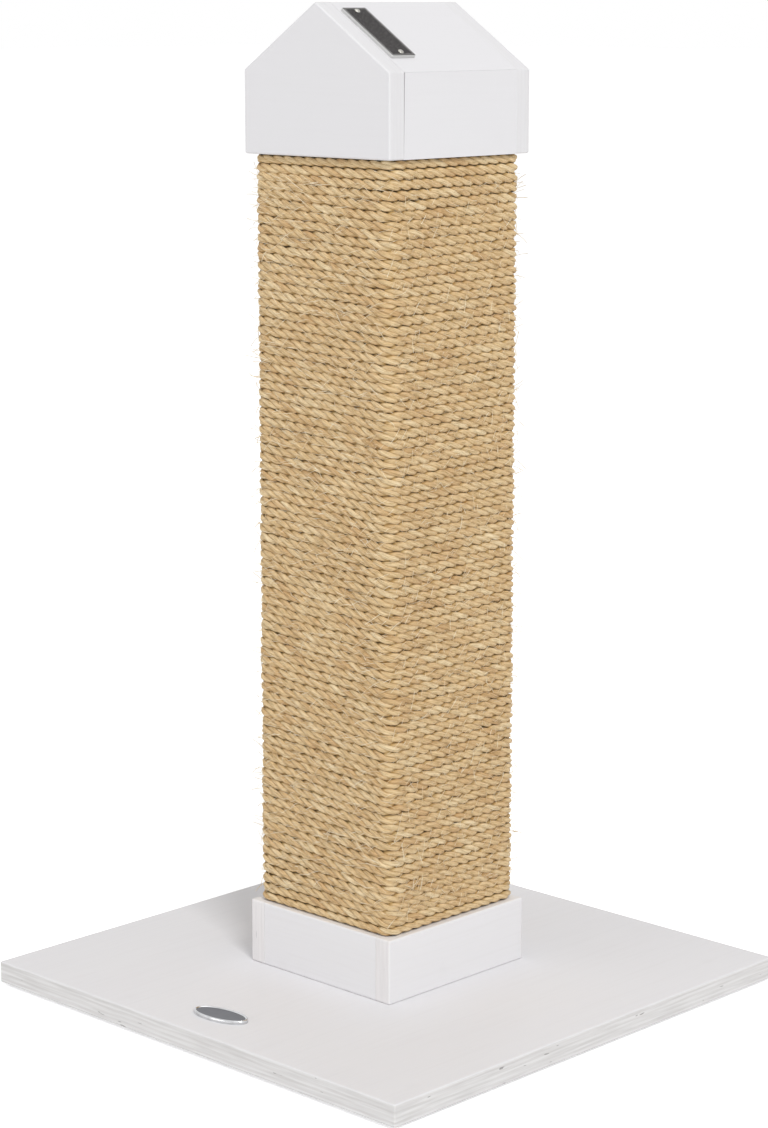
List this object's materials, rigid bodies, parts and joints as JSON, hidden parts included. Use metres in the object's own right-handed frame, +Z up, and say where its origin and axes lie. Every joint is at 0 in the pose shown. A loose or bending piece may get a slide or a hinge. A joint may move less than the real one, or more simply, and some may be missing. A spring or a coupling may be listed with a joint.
{
  "type": "cat scratching post",
  "caption": "Free-standing cat scratching post: a square column wound with sisal rope on a square white board, with a boxed plinth and a small gabled cap.",
  "frame": {"origin": "middle of the ground under the post, at the underside of the felt feet", "axes": "+Z up; the gables face -Y and +Y, the ridge of the cap runs along Y, and the slope with the small plain plate faces +X"},
  "size_m": [0.35, 0.35, 0.6176],
  "materials": {
    "white_wood": "poplar plywood, white glazed, satin",
    "bare_wood": "untreated plywood, sanded",
    "sisal": "three-strand sisal rope, untreated",
    "felt": "pressed felt",
    "zinc_steel": "zinc plated",
    "brass": "turned",
    "dark_plate": "brushed aluminium, dark face and bare edges",
    "pin_metal": "nickel plated",
    "badge_metal": "bright plated, plain"
  },
  "bodies": {
    "root": {"foot_front_left": "felt", "foot_back_left": "felt", "foot_front_right": "felt", "foot_back_right": "felt", "base_board": "white_wood", "base_bolt": "zinc_steel", "insert_nut": "brass", "plinth_board_left": "white_wood", "plinth_board_right": "white_wood", "plinth_board_front": "white_wood", "plinth_board_back": "white_wood", "plinth_block": "bare_wood", "column_board_left": "bare_wood", "column_board_right": "bare_wood", "column_board_front": "bare_wood", "column_board_back": "bare_wood", "column_foot_block": "bare_wood", "column_head_block": "bare_wood", "rope_winding_1": "sisal", "rope_winding_2": "sisal", "rope_winding_3": "sisal", "rope_winding_4": "sisal", "gable_board_front": "white_wood", "gable_board_back": "white_wood", "cap_side_left": "white_wood", "cap_side_right": "white_wood", "roof_board_left": "white_wood", "roof_board_right": "white_wood", "cap_block": "bare_wood", "cap_dowels": "bare_wood", "roof_plate": "dark_plate", "plate_pins": "pin_metal", "base_badge": "badge_metal"}
  },
  "joints": []
}
